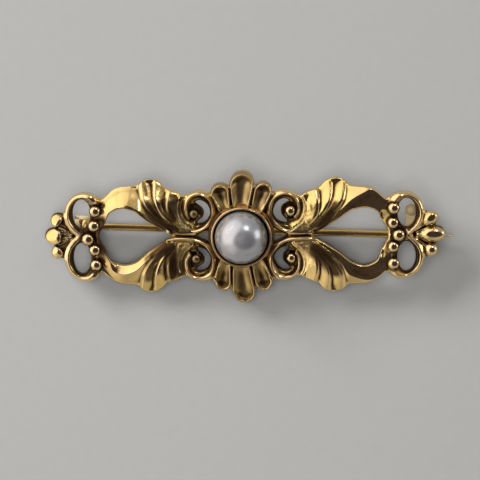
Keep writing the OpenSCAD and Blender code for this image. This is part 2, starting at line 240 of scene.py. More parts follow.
# How much each lobe falls across its width, and between which v that begins
LOBE_FALLS = {1: [(0.42, 2.8, 4.8), (0.42, 2.8, 4.8), (0.55, 1.0, 2.6)],
              -1: [(0.42, 2.0, 4.0)] * 3}
RING_SLOPES = {(-1, 1): 0.62, (-1, -1): 0.42, (1, 1): 0.85, (1, -1): 0.85}
# Thin ridges of the end palmettes, from their root. Columns: angle, length
PALM_ROOT = np.array([20.8, 0])
PALM_RIDGES = [(0.16, 2.2), (0.3, 2.7), (0.42, 2.7), (0.86, 2.7), (1.02, 2.5)]
# Scoops of the middle palmettes. Columns: start, end, half width at both, depth
SCOOPS = [((0, 4.2), (0, 6.5), 0.92, 1.27, 0.62), ((2.05, 3.5), (2.62, 5.5), 0.6, 0.93, 0.6)]
SCROLL_EYE = (5.95, 3.0)
FACE_LEVEL = 0.85

# How far the hand-made brooch strays from its even drawing.
# Columns: x, y, shift in x, shift in y, reach
STRAYS = [(0, 7.5, 0.22, -0.05, 2.0), (-2.9, 6.2, 0.0, -0.1, 1.5), (2.9, 6.2, 0.12, 0.12, 1.5),
          (0, -7.5, 0.42, -0.62, 2.0), (-3.2, -6.2, 0.35, -0.3, 1.5), (3.2, -6.2, 0.1, -0.3, 1.5),
          (-5, -3, 0, -0.25, 1.8), (4.9, 3.2, 0.22, 0.36, 1.5), (5, -3, 0.42, -0.05, 1.5),
          (-11.7, -6.5, 0, -0.2, 2.6), (-16, -4.8, 0, -0.27, 2.4), (-20.5, -5, 0, -0.15, 2.2),
          (11, -6.6, -0.22, -0.25, 2.4), (16, -4.2, 0, -0.36, 2.4), (11.4, 7, 0.05, 0.12, 2.6),
          (16.5, 5.6, 0, 0.25, 1.8), (15, 2.6, 0, -0.2, 1.4), (-16, 5.6, 0, 0.18, 2.4)]


def strayed(xy):
    """Points of the even drawing where the hand-made brooch has them."""
    free = ramp(far_from(xy, (0, 0)), 4.0, 5.4)
    moved = xy.copy()
    for x, y, dx, dy, reach in STRAYS:
        pull = free * np.exp(-((xy[:, 0] - x)**2 + (xy[:, 1] - y)**2) / reach**2)
        moved += pull[:, None] * [dx, dy]
    return moved


def signed_quarter(p):
    """Depth inside the silhouette of one quarter, negative in its openings."""
    edges = (SCROLL_EDGE, SMALL_LOBE_EDGE, LARGE_LOBE_EDGE, ARM_EDGE)
    edge = np.vstack([smooth_line(e)[:-1] for e in edges] + [[[18.6, 3.8], [19, 3.2]]])
    half = np.vstack([[[-5, 5], [0, 5]], edge, [[19.4, 0]]])
    core = np.vstack([half, (half[::-1] * [1, -1])[1:]])
    depth = inside_by(p, core)
    fan = np.array(END_FAN)
    k = 0.1
    depth = soft_max(depth, inside_by(p, np.vstack([fan[1:], (fan[::-1] * [1, -1])[:-1]])), k)
    middle = np.array(MIDDLE_FAN)
    ring = np.vstack([middle[:-1], [[0, 7]], middle[::-1][1:-1] * [-1, 1]])
    depth = soft_max(depth, inside_by(p, ring), k)
    for x, y, r in [(*RING_CENTER, RING_R), (19.6, 0, 0.85), *END_LOBES, *MIDDLE_LOBES]:
        depth = soft_max(depth, r - far_from(p, (x, y)), k)
    window = smooth_line(WINDOW_EDGE)
    openings = [np.vstack([window, window[::-1] * [1, -1]]),
                smooth_line(CRESCENT, closed=True),
                np.array([[3.6, 1.1], [5.75, 0], [3.6, -1.1]])]
    for ring in openings:
        depth = soft_min(depth, -inside_by(p, ring), k)
    x, y, a, b = RING_HOLE
    r = np.hypot((p[:, 0] - x) / a, (p[:, 1] - y) / b)
    depth = soft_min(depth, (r - 1) * np.where(np.abs(p[:, 1] - y) > 1.2, b, a), k)
    return depth


def to_quarter(p):
    """Folds points of the whole brooch into one quarter, with its own length."""
    k = 1 + np.where(p[:, 0] > 0, RIGHT_K - 1, LEFT_K - 1) * ramp(np.abs(p[:, 0]), 2, 7)
    return np.c_[np.abs(p[:, 0]) / k, np.abs(p[:, 1])]


# Relief: each step takes the height so far, at points of one quarter
def gable(d, top, outer, inner, round_r=0.08):
    """A crest: falls at one slope on its left and at another on its right."""
    fall = np.where(d > 0, outer, inner) * (np.sqrt(d * d + round_r**2) - round_r)
    return top - fall


def split(p, axis):
    """How far points lie along an axis, and how far to its right."""
    return p @ axis, p[:, 0] * axis[1] - p[:, 1] * axis[0]


def turned_to(angle):
    return np.array([math.cos(angle), math.sin(angle)])


def with_arm(z, p, corner):
    """Polished arm: a wide facet outside its ridge, another along the window."""
    u, v = p.T
    right, upper_left = corner[0] > 0, corner == (-1, 1)
    if upper_left:
        z = z - 0.5 * ramp(v, 3.0, 4.0) * ramp(u, 8.5, 9.5) * fade(u, 18.2, 19.0)
    elif corner[1] > 0:
        z = z - 0.4 * ramp(v, 4.2, 5.2) * ramp(u, 8.5, 9.5) * fade(u, 17.5, 18.5)
    d, _ = beside(p, ARM_RIDGES[corner])
    ridge = along(u, ARM_TOPS[corner[0]])
    outer, inner = ARM_SLOPES[corner]
    if corner == (-1, -1):
        inner = inner - 0.9 * ramp(u, 15.8, 16.8)
    if upper_left:
        outer = outer + 0.06 * ramp(u, 14.6, 16.4)
        ridge = ridge + 0.25 * ramp(u, 13.5, 15.5)
    arm = np.where(d < 0, ridge - outer * -d - 0.05 * d**2,
                   ridge - inner * d - (0.1 if right else 0.03) * np.minimum(d, 1)**2)
    if upper_left:
        arm = arm - 0.12 * np.clip(u - 15.5, -2.5, 0) + 0.4 * ramp(u, 15, 18.5)
        arm = arm - 0.65 * ramp(u, 16.8, 17.8) * fade(v, 1.8, 3.0)
    share = ramp(u, 8.4, 9.2) * fade(u, 18.3, 18.9)
    z = np.where(share > 0, soft_max(z, 0.6 + (arm - 0.6) * share, 0.05), z)
    if right:
        z = z - 0.42 * np.clip(18.6 - u, 0, 1.2) * ramp(u, 16.8, 17.4) * fade(v, 2.0, 3.4)
    return z


def with_leaf(z, p, corner):
    """Leaf: three lobes with rolled edges that overlap towards the arm, and tips that curl down."""
    v = p[:, 1]
    away = [beside(p, line)[0] for line in LOBE_EDGES]
    crown = along(v, LEAF_TOPS[corner[1]])
    leaf = np.full(len(p), -9.0)
    for n, (drop, root, tip) in enumerate(LOBE_FALLS[corner[0]]):
        # here > 0 on this lobe's own side of its line; beyond > 0 past the next line
        here, beyond = -away[n], -away[n + 1]
        on = (here > -0.02) & (beyond < 0.02)
        width = np.maximum(here - beyond, 1e-3)
        f = unit(here / width)
        bevel = np.clip((0.42 if n == 0 else 0.34) * width, 0.12, 0.75)
        edge = 1 - (1 - unit(here / bevel))**1.6
        fall = 0.4 * np.clip(width / 1.5, 0.3, 1) * ramp(v, 1.2 if n == 0 else 2.2, 4.1)
        lobe = crown - np.maximum(fall, 0.05) * (1 - edge)
        lobe = lobe + drop * ramp(v, root, tip) * (0.55 - f) * edge
        swell = 0.02 if corner[0] > 0 and n == 2 else 0.10
        lobe = lobe + swell * np.sin(np.pi * f) * ramp(v, 1.5, 4)
        leaf = np.where(on, np.maximum(leaf, lobe), leaf)
    z = np.where(leaf > -5, soft_max(z, leaf, 0.03), z)
    # A fine ridge between the leaf and the scroll
    d = away[3]
    fine = gable(d, 1.3 + 0.1 * ramp(v, 1, 3), 0.6, 0.5, 0.05)
    fine = fine - 0.05 * np.cos(9 * d) * ramp(np.abs(d), 0.05, 0.2)
    return np.where(np.abs(d) < 0.7, soft_max(z, fine, 0.05), z)


def with_scroll(z, p):
    """Inner scroll: one strap from the neck, past the cup and round the eye."""
    u, v = p.T
    d, s = beside(p, SCROLL_CREST)
    last = s.max()
    top = along(s, [(0, 1.2), (1.2, 1.42), (5, 1.5), (12, 1.58), (16, 1.55), (last - 1, 1.35),
                    (last, 1.1)])
    z = z - 0.3 * fade(far_from(p, SCROLL_EYE), 0.7, 1.25)
    z = np.where(np.abs(d) < 1.0, soft_max(z, gable(d, top, 1.3, 1.4, 0.1), 0.05), z)
    # The groove between the upper and the lower half of the neck
    return z - 0.22 * np.exp(-(v / 0.13)**2) * ramp(u, 5.2, 6.2) * fade(u, 9, 9.8)


def with_end(z, p, corner):
    """End ring and end palmette."""
    u, v = p.T
    right = corner[0] > 0
    # The ring is a crest that runs round to the upper bead, steep towards the ring's hole
    d, s = beside(p, RING_CREST)
    top = along(s, [(0, 1.3), (1.5, 1.5), (6, 1.55), (9, 1.5), (s.max(), 1.25)])
    strap = gable(d, top, 1.5, RING_SLOPES[corner], 0.1) - 2 * np.maximum(-d - 0.5, 0)
    z = np.where(np.abs(d) < 1.1, soft_max(z, strap, 0.05), z)

    # The palmette has raised knobs on tapering stems, with deep grooves between them
    q = p - PALM_ROOT
    palm = np.full(len(p), 0.5)
    for ku, kv, turn, half_long, half_wide, high in END_KNOBS[corner]:
        t, off = split(p - [ku, kv], turned_to(turn))
        power = 2.0 if right else 2.8
        bulge = 1 - np.abs(t / half_long)**power - np.abs(off / half_wide)**power
        if right:
            knob = 0.62 + high * np.sqrt(unit(bulge))
        else:
            knob = (0.7 + 0.8 * high * unit(bulge)**0.22 - 0.36 * t
                    - 0.16 * np.abs(off) - 0.2 * (v - kv) * corner[1])
        palm = np.maximum(palm, np.where(bulge > 0, knob, -9))
        out = math.hypot(ku - PALM_ROOT[0], kv)
        t, off = split(q, np.array([ku - PALM_ROOT[0], kv]) / out)
        share = unit(t / out)
        wide = 0.10 + (0.36 if right else 0.55) * share**1.3
        arch = np.sqrt(unit(1 - (off / wide)**2))
        stem = 0.55 + ((0.75 if right else 0.45) - 0.1 * share) * arch
        palm = np.maximum(palm, np.where((t > 0) & (t < out), stem, -9))
    for angle, length in PALM_RIDGES:
        t, off = split(q, turned_to(angle))
        ridge = np.where((t > 0) & (t < length), 1.18 - 3.2 * np.abs(off), -9)
        palm = np.maximum(palm, ridge)
    fan = ramp(u, 21.1, 21.6) * ramp(np.hypot(*q.T), 0.3, 0.8)
    outside = far_from(p, RING_CENTER) > 2.3
    z = np.where((fan > 0) & outside & (strap <= palm), 0.5 + (palm - 0.5) * fan, z)
    return np.where((u > 21.3) & outside, np.maximum(z, np.minimum(strap, 1.5)), z)


def with_middle(z, p):
    """Middle palmette: three scoops with thin raised rims."""
    u, v = p.T
    palm = np.full(len(p), -9.0)
    for start, end, r0, r1, deep in SCOOPS:
        run = np.subtract(end, start)
        rel = p - start
        place = rel @ run / np.hypot(*run)**2
        t = unit(place)
        away = np.hypot(*(rel - t[:, None] * run).T)
        r = r0 + (r1 - r0) * t
        inside = away / r
        level = 1.62 - 0.12 * ramp(v, 6, 8)
        bend = 2.0 + 2.5 * ramp(place, 0.95, 1.3)
        scoop = level + 0.02 - deep * (1 - unit(inside)**bend) * ramp(v, 2.6, 5.2)
        over = away - r
        rim = level + 0.12 - 1.5 * np.abs(over - 0.05)
        wall = level + 0.06 - 2.2 * (over - 0.08) - 0.9 * np.clip(over - 0.08, 0, 2)**2
        h = np.where(inside < 1, soft_max(scoop, rim, 0.03), np.where(over > 0.08, wall, rim))
        palm = np.maximum(palm, h)
    return np.where((v > 2.5) & (u < 4.2), soft_max(z, palm, 0.04), z)


def relief_at(xy):
    """Height of the casting's face over its back, at points of the whole brooch."""
    quarter = to_quarter(xy)
    height = np.zeros(len(xy))
    for corner in ARM_RIDGES:
        here = ((xy > 0) == (np.array(corner) > 0)).all(1)
        p = quarter[here]
        z = with_arm(np.full(len(p), FACE_LEVEL), p, corner)
        z = with_scroll(with_leaf(z, p, corner), p)
        height[here] = with_middle(with_end(z, p, corner), p)
    return height


# Outline of the whole brooch. Steps between points, and the fewest points of a loop
GRID, RIM_STEP, CREST_STEP, STEP, SPECK = 0.05, 0.09, 0.08, 0.1, 12
gx = np.arange(-26, 26 + GRID / 2, GRID)
gy = np.arange(-9, 9 + GRID / 2, GRID)
grid_points = np.c_[np.tile(gx, len(gy)), np.repeat(gy, len(gx))]
depth_grid = signed_quarter(to_quarter(grid_points)).reshape(len(gy), len(gx))


def closed_loops(field):
    """Closed lines where the field crosses zero."""
    solid = field > 0
    links, places = {}, {}
    a, b, c, d = solid[:-1, :-1], solid[1:, :-1], solid[:-1, 1:], solid[1:, 1:]
    for i, j in np.argwhere((a != b) | (a != c) | (d != b) | (d != c)):
        edges = []
        for key in ((i, j, 0), (i, j + 1, 1), (i + 1, j, 0), (i, j, 1)):
            i0, j0, down = key
            i1, j1 = i0 + down, j0 + 1 - down
            if solid[i0, j0] != solid[i1, j1]:
                edges.append(key)
                t = field[i0, j0] / (field[i0, j0] - field[i1, j1])
                places[key] = (gx[j0] + (j1 - j0) * t * GRID, gy[i0] + (i1 - i0) * t * GRID)
        for one, other in zip(edges[::2], edges[1::2]):
            links.setdefault(one, []).append(other)
            links.setdefault(other, []).append(one)
    loops = []
    unused = set(links)
    while unused:
        start = next(iter(unused))
        loop, last, now = [start], None, start
        unused.discard(start)
        while True:
            step = [n for n in links[now] if n != last]
            last, now = now, step[0]
            if now == start:
                break
            loop.append(now)
            unused.discard(now)
        if len(loop) > SPECK:
            loops.append(np.array([places[k] for k in loop]))
    return loops


def spaced(line, spacing, closed=False):
    """Points evenly spaced along a line; a closed line ends with its first point."""
    s = np.concatenate([[0], np.cumsum(np.hypot(*np.diff(line, axis=0).T))])
    count = max(8, int(s[-1] / spacing)) if closed else max(2, int(s[-1] / spacing) + 1)
    at = np.linspace(0, s[-1], count, endpoint=not closed)
    return np.c_[np.interp(at, s, line[:, 0]), np.interp(at, s, line[:, 1])]


def even_loop(loop, spacing):
    """The loop slightly smoothed, with its points evenly spaced."""
    for _ in range(2):
        loop = 0.25 * np.roll(loop, 1, 0) + 0.5 * loop + 0.25 * np.roll(loop, -1, 0)
    return spaced(np.vstack([loop, loop[:1]]), spacing, True)


def area_of(loop):
    x, y = loop.T
    return 0.5 * np.sum(x * np.roll(y, -1) - np.roll(x, -1) * y)


outlines = [even_loop(loop, RIM_STEP) for loop in closed_loops(depth_grid)]
outlines.sort(key=lambda loop: -abs(area_of(loop)))
# The metal is on the left of every loop: only the outer one runs anticlockwise
outlines = [l if (area_of(l) > 0) == (i == 0) else l[::-1] for i, l in enumerate(outlines)]
n_rim = sum(map(len, outlines))


def inward(loop):
    run = np.roll(loop, -1, 0) - np.roll(loop, 1, 0)
    run /= np.hypot(*run.T)[:, None]
    return np.c_[-run[:, 1], run[:, 0]]


edge_tree = tree_of(np.vstack([even_loop(l, 0.02) for l in outlines]))


def between_grid(values, p):
    """Values of a grid at points between its own."""
    fx, fy = (p[:, 0] - gx[0]) / GRID, (p[:, 1] - gy[0]) / GRID
    j, i = np.clip(fx.astype(int), 0, len(gx) - 2), np.clip(fy.astype(int), 0, len(gy) - 2)
    a, b = fx - j, fy - i
    return ((values[i, j] * (1 - a) + values[i, j + 1] * a) * (1 - b)
            + (values[i + 1, j] * (1 - a) + values[i + 1, j + 1] * a) * b)


def well_inside(points, depth, gap):
    """The points that are in the metal, by the depth field, and a gap away from its edges."""
    points = points[between_grid(depth_grid, points) > depth]
    return points[nearest(edge_tree, points) > gap]


def meshed(step, row_step, shift, depth, gap):
    """Points in rows over the metal, every other row shifted."""
    x, y = np.meshgrid(np.arange(-25.5, 25.6, step), np.arange(-8.6, 8.6, row_step))
    x = x + (np.arange(y.shape[0]) % 2)[:, None] * shift
    return well_inside(np.c_[x.ravel(), y.ravel()], depth, gap)


def whole(line):
    """The four copies of a quarter's line on the whole brooch."""
    copies = []
    for sx, k in ((1, RIGHT_K), (-1, LEFT_K)):
        x = line[:, 0] * (1 + (k - 1) * ramp(line[:, 0], 2, 7)) * sx
        copies += [np.c_[x, line[:, 1]], np.c_[x, -line[:, 1]]]
    return copies


def filled(loops, inner):
    """Points and triangles over the metal inside the loops; the loops' own points come first."""
    rim = np.vstack(loops)
    edges, start = [], 0
    for loop in loops:
        n = len(loop)
        edges += [(start + i, start + (i + 1) % n) for i in range(n)]
        start += n
    points = [Vector(q) for q in np.vstack([rim, inner])]
    made = delaunay_2d_cdt(points, edges, [], 1, 1e-7, False)
    tri = np.array(made[2])
    out = np.array([(v.x, v.y) for v in made[0]])
    # A triangle between rim points alone may lie over an opening
    all_rim = (tri < len(rim)).all(1)
    middles = out[tri].mean(1)[all_rim]
    keep = ~all_rim
    for loop in loops:
        keep[all_rim] ^= within(middles, loop)
    return out, tri[keep]


# Rows of points along the edges and the crests, and a field of them between
rows = []
for off in (0.05, 0.11, 0.18, 0.27):
    for loop in outlines:
        row = loop + inward(loop) * off
        rows.append(row[nearest(edge_tree, row) > off * 0.9])
drawn = [copy for line in (RING_CREST, SCROLL_CREST, *LOBE_EDGES) for copy in whole(line)]
for (right, upper), line in ARM_RIDGES.items():
    drawn.append(whole(line)[(1 - right) + (1 - upper) // 2])
crests = []
for line in drawn:
    line = spaced(line, CREST_STEP)
    side = inward(line)
    crests += [line, line + side * 0.05, line - side * 0.05]
crests = well_inside(np.vstack(crests), 0.05, 0.3)
hexes = meshed(STEP, STEP * 0.866, STEP / 2, 0.25, 0.33)
crests = crests[np.r_[True, np.hypot(*np.diff(crests, axis=0).T) > 0.02]]
hexes = hexes[nearest(tree_of(crests), hexes) > 0.055]
face_xy, face_tri = filled(outlines, np.vstack([*rows, crests, hexes]))

# Height of the face, rolled off along every edge
ROLL, ROLL_DEPTH, LOWEST = 0.2, 0.26, 0.3
edge_d = nearest(edge_tree, face_xy)
edge_d[:n_rim] = 0
top = relief_at(face_xy)
roll = np.sqrt(unit(1 - (1 - unit(edge_d / ROLL))**2))
low = np.maximum(top - ROLL_DEPTH, LOWEST)
face_z = low + (top - low) * roll
face_z += 0.018 * waves(face_xy, 0.9, 3.1) + 0.007 * waves(face_xy, 3.1, 8.7)
# Punched ground between leaf and scroll
quarter = to_quarter(face_xy)
face_u, face_v = quarter.T
punched = ramp(face_u, 6.3, 6.8) * fade(face_u, 8.0, 8.8) * ramp(face_v, 0.5, 0.9)
punched *= fade(face_v, 2.6, 3.6) * ramp(edge_d, 0.3, 0.5)
here = punched > 0.02
face_z[here] += 0.05 * punched[here] * waves(face_xy[here], 4.2, 1.7)


def back_level(p):
    """How far the curled tips reach behind the back."""
    u, v = to_quarter(p).T
    palm = 1.1 * ramp(v, 6.5, 7.4) * fade(u, 0.9, 2.2)
    leaf = 0.5 * ramp(v, 6.1, 6.6) * ramp(u, 9.8, 10.4) * fade(u, 12.6, 13.2)
    return -np.maximum(palm, leaf)


# Walls from the face's rim down to the back's rim, rounded at their feet.
# Columns: share of the way down, distance inwards
WALL = ((0.35, 0.0), (0.7, 0.012), (0.9, 0.045), (1.0, 0.12))
verts = [np.c_[face_xy, face_z]]
tris = [face_tri]
rim_xy, rim_z = face_xy[:n_rim], face_z[:n_rim]
rim_in = np.vstack([inward(l) for l in outlines])
rim_back = back_level(rim_xy)
starts = np.cumsum([0] + [len(l) for l in outlines])
following = np.concatenate([np.roll(np.arange(len(l)), -1) + s for l, s in zip(outlines, starts)])
previous = np.arange(n_rim)
count = len(face_xy)
for share, inset in WALL:
    deeper = inset * (1 + 0.9 * -rim_back)
    verts.append(np.c_[rim_xy + rim_in * deeper[:, None], rim_z + (rim_back - rim_z) * share])
    row = np.arange(count, count + n_rim)
    a, b, c, d = previous, previous[following], row, row[following]
    tris += [np.c_[a, c, b], np.c_[b, c, d]]
    previous = row
    count += n_rim
back_loops = [verts[-1][s:e, :2] for s, e in zip(starts[:-1], starts[1:])]
back_in = meshed(0.3, 0.26, 0, 0.3, 0.3)
back_xy, back_tri = filled(back_loops, back_in)
assert len(back_xy) == n_rim + len(back_in), "the back's points were merged"
back_z = back_level(back_xy) + 0.02 * waves(back_xy, 0.8, 5.5)
verts.append(np.c_[back_xy, back_z][n_rim:])
tris.append(np.r_[previous, count:count + len(back_in)][back_tri][:, ::-1])
verts = np.vstack(verts)
tris = np.vstack(tris)


def linked(name, data):
    """A new object in the scene."""
    obj = bpy.data.objects.new(name, data)
    bpy.context.scene.collection.objects.link(obj)
    return obj


def placed(name, mesh, body="brooch"):
    """A mesh as a piece of the brooch or the pin."""
    obj = linked(name, mesh)
    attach(obj, body)
    return obj


def plain_mesh(name, points, faces, place=None):
    mesh = bpy.data.meshes.new(name)
    mesh.from_pydata(np.asarray(points).tolist(), [], [list(map(int, f)) for f in faces])
    if place is not None:
        mesh.transform(place)
    mesh.validate()
    mesh.update()
    return mesh


def piece(name, mesh, finish, body="brooch", sharp=None):
    """Sets a mesh in drawing millimetres down as a piece, with edges sharp above an angle."""
    mesh.transform(TO_REST)
    mesh.materials.clear()
    mesh.materials.append(finish)
    mesh.shade_smooth()
    if sharp:
        mesh.set_sharp_from_angle(angle=sharp)
    return placed(name, mesh, body)


def paint(obj, values, name):
    """Gives each point of a piece a value that its finish reads."""
    layer = obj.data.attributes.new(name, "FLOAT", "POINT")
    layer.data.foreach_set("value", np.asarray(values, np.float32))


# Node wiring
class Wire:
    """A number socket that Python's own operators work on."""

    def __init__(self, net, socket):
        self.net, self.socket = net, socket

    def _do(self, operation, *others):
        return self.net.add("Math", [self, *others], operation=operation)

    def __add__(self, other): return self._do("ADD", other)
    def __mul__(self, other): return self._do("MULTIPLY", other)
    def __sub__(self, other): return self._do("SUBTRACT", other)
    def __truediv__(self, other): return self._do("DIVIDE", other)
    def __pow__(self, other): return self._do("POWER", other)
    __radd__, __rmul__ = __add__, __mul__

    def __rsub__(self, other):
        return self.net.add("Math", [other, self], operation="SUBTRACT")

    def most(self, other): return self._do("MAXIMUM", other)
    def within(self): return self.net.add("Clamp", [self])

    def between(self, low, high, to_low=0.0, to_high=1.0):
        return self.net.add("MapRange", [self, low, high, to_low, to_high],
                            interpolation_type="SMOOTHSTEP")


class Net:
    """The node tree of a material, a world or a growing rule."""

    def __init__(self, tree, family="ShaderNode"):
        self.tree, self.family = tree, family

    def add(self, kind, values=(), out=0, **settings):
        """A node with its settings, then its sockets' values or links; returns one output."""
        node = self.tree.nodes.new(self.family + kind)
        for key, value in settings.items():
            setattr(node, key, value)
        pairs = values.items() if isinstance(values, dict) else enumerate(values)
        for key, value in pairs:
            if isinstance(value, Wire):
                self.tree.links.new(value.socket, node.inputs[key])
            else:
                node.inputs[key].default_value = value
        return Wire(self, node.outputs[out])

    def end(self, kind, wire):
        """Links a wire to the tree's output node."""
        self.tree.links.new(wire.socket, self.tree.nodes.new(kind).inputs[0])

    def look(self, values):
        """Ends a material with a surface of these values."""
        self.end("ShaderNodeOutputMaterial", self.add("BsdfPrincipled", values))

    def clouds(self, place, scale, detail):
        return self.add("TexNoise", {0: place, "Scale": scale, "Detail": detail})

    def painted(self, name):
        return self.add("Attribute", out=2, attribute_name=name)

    def mixed(self, share, a, b):
        return self.add("Mix", {0: share, 6: a, 7: b}, 2, data_type="RGBA", clamp_factor=True)


def net_of(owner):
    """The emptied node tree of a material or a world."""
    owner.use_nodes = True
    owner.node_tree.nodes.clear()
    return Net(owner.node_tree)


def material(name):
    """A new material, its nodes, and the wire of the place on the piece."""
    made = bpy.data.materials.new(name)
    net = net_of(made)
    return made, net, net.add("TexCoord", out=3)


YELLOW_GOLD, WARM_GOLD = (0.88, 0.635, 0.225, 1), (0.91, 0.65, 0.275, 1)
RUBBED_GOLD, WORN_GOLD = (0.90, 0.675, 0.42, 1), (0.70, 0.45, 0.20, 1)
# Brown for patina and for painted shade in hollows, crevices and under things
SHADE_AND_PATINA_BROWN = (0.11, 0.062, 0.028, 1)


def gold_finish(name, polish=0.14, wear=1.0, tint=None, metallic=1.0):
    """Old gold: bright where it is rubbed, brown with patina and painted shade in its hollows,
    finely scratched.
    """
    made, net, place = material(name)
    hollow, rubbed, satin = map(net.painted, ("hollow", "rubbed", "satin"))
    cloud = net.clouds(place, 420, 3)
    grit = net.clouds(place, 3800, 4)
    shift = net.clouds(place, 130, 1)
    # Share of brown: patina and painted shade from the painted attribute, broken up by clouds
    shade_and_patina_mix = (hollow * (0.8 + cloud * 0.9) + (grit - 0.5) * 0.25 * hollow).within()
    rich = net.mixed(shift.between(0.35, 0.65), YELLOW_GOLD, WARM_GOLD)
    rich = net.mixed(rubbed.within() * 0.8, rich, RUBBED_GOLD)
    if tint:
        rich = net.mixed(0.5, rich, tint)
    worn = net.mixed(grit.between(0.5, 0.8) * 0.15 * wear, rich, WORN_GOLD)
    rough = (polish + shade_and_patina_mix * 0.30 + satin * 0.22 + (grit - 0.5) * 0.10 * wear
             + (cloud - 0.5) * 0.06).most(0.06)
    long_marks = net.add("Mapping", {0: place, 2: (0, 0, 0.5), 3: (600, 6000, 3000)})
    marks = net.clouds(long_marks, 1, 2)
    bump = net.add("Bump", {"Strength": 0.35 * wear, "Distance": 0.00002,
                            "Height": cloud * 0.9 + grit * 0.25 + marks * 0.18 * wear})
    net.look({"Base Color": net.mixed(shade_and_patina_mix, worn, SHADE_AND_PATINA_BROWN), "Metallic": metallic,
              "Roughness": rough, "Normal": bump})
    return made


def nacre_finish(name):
    """Silver-grey nacre: a soft broad sheen under a clear skin."""
    made, net, place = material(name)
    cloud = net.clouds(place, 260, 2)
    fine = net.clouds(place, 2500, 3)
    color = net.mixed(cloud.between(0.3, 0.7), (0.40, 0.43, 0.46, 1), (0.44, 0.42, 0.44, 1))
    bump = net.add("Bump", {"Strength": 0.08, "Distance": 0.00001, "Height": cloud})
    net.look({"Base Color": color, "Metallic": 0.87, "Roughness": 0.25 + fine * 0.03,
              "Coat Weight": 0.2, "Coat Roughness": 0.12, "Normal": bump})
    return made


gold = gold_finish("polished_gold")
pin_gold = gold_finish("drawn_gold_wire", 0.26, 0.3)
cup_gold = gold_finish("rosy_gold", 0.16, 1.0, (0.87, 0.58, 0.36, 1))
brushed_gold = gold_finish("brushed_gold", 0.6, 0.6, (0.44, 0.41, 0.36, 1), 0.75)
nacre = nacre_finish("grey_nacre")

# Casting
# Round grains of the bead rows and the scrolls' eyes. Columns: x, y, z, radius
GRAINS = [(-18.26, 3.24, 1.5, 0.71), (-18.43, 1.38, 1.5, 0.73), (-19.18, -0.31, 1.5, 0.78),
          (-18.36, -1.69, 1.5, 0.71), (-18.24, -3.6, 1.5, 0.71),
          (19.01, 3.46, 1.5, 0.74), (18.91, 1.60, 1.5, 0.70), (19.62, 0.04, 1.5, 0.77),
          (18.95, -1.46, 1.5, 0.70), (19.01, -3.6, 1.5, 0.73),
          (-5.93, 2.78, 1.1, 0.56), (6.1, 3.12, 1.15, 0.66), (-5.7, -2.98, 1.1, 0.55),
          (6.18, -2.9, 1.1, 0.6)]
verts[:, :2] = strayed(verts[:, :2])
casting = piece("casting", plain_mesh("casting", verts, tris), gold)


def blurred(a, reach):
    kernel = np.exp(-np.arange(-3 * reach, 3 * reach + 1)**2 / (2 * reach**2))
    kernel /= kernel.sum()
    for axis in (1, 0):
        a = np.apply_along_axis(np.convolve, axis, a, kernel, "same")
    return a


def on_casting(face, walls=0.0, back=0.0):
    """Values on the face, on every row of the walls and on the back, in the mesh's order."""
    rows = np.tile(np.broadcast_to(walls, n_rim), len(WALL))
    return np.concatenate([face, rows, np.full(len(verts) - len(face) - len(rows), back)])


# How far each point lies under the metal round it, which gets patina and painted shade, or over it,
# which is rubbed
inside = (depth_grid > 0).astype(float)
level = relief_at(grid_points).reshape(len(gy), len(gx)) * inside
near, wide = (blurred(level, n) / np.maximum(blurred(inside, n), 0.05) for n in (5, 12))
dips = (unit((near - level - 0.02) / 0.11) * 0.75
        + unit((wide - level - 0.05) / 0.24) * 0.65)
highs = unit((level - near - 0.02) / 0.08)
rub = between_grid(highs * inside, face_xy)
shade_and_patina_parts = [between_grid(dips * inside, face_xy) * ramp(edge_d, 0.2, 0.7)]
# The steep sides towards the small openings get patina and painted shade
SMALL_OPENING = 9
small = [even_loop(l, 0.05) for l in outlines[1:] if abs(area_of(l)) < SMALL_OPENING]
shade_and_patina_parts.append(0.9 * fade(nearest(tree_of(np.vstack(small)), face_xy), 0.16, 0.36))
# Painted shade in the roots of the leaves' lobes, partly tarnish. Each: a line of points, half
# width, strength
ROOT_SHADE_AND_TARNISH = [([(-11.9, 4.1), (-10.9, 2.65), (-9.8, 1.3), (-8.3, 0.8)], 0.7, 0.95),
           ([(-9.6, 4.45), (-9.1, 3.3), (-8.5, 2.2)], 0.55, 0.95),
           ([(-12.1, 6.6), (-11.8, 5.3)], 0.28, 0.7),
           ([(-11.5, -2.9), (-11.4, -4.0), (-11.6, -5.0)], 0.7, 0.7),
           ([(-11.2, -2.5), (-9.5, -1.2)], 0.5, 0.9),
           ([(-8.9, -1.6), (-8.8, -3.3), (-8.9, -4.6)], 0.95, 0.98),
           ([(11.8, 3.85), (10.75, 2.25), (9.5, 0.6)], 0.6, 0.95),
           ([(9.2, -1.8), (10.4, -3.0), (11.9, -4.2)], 0.95, 0.92)]
for line, half, strength in ROOT_SHADE_AND_TARNISH:
    away = np.abs(beside(face_xy, np.array(line))[0]) / half
    shade_and_patina_parts.append(strength * fade(away, 0.5, 1.4) * (1 - 0.8 * unit(rub)))
# Painted shade and patina on the ground between the end palmette's knobs
outside = far_from(quarter, RING_CENTER) > 2.4
shade_and_patina_parts.append(ramp(face_u, 21.2, 21.7) * outside * fade(top, 0.8, 1.1))
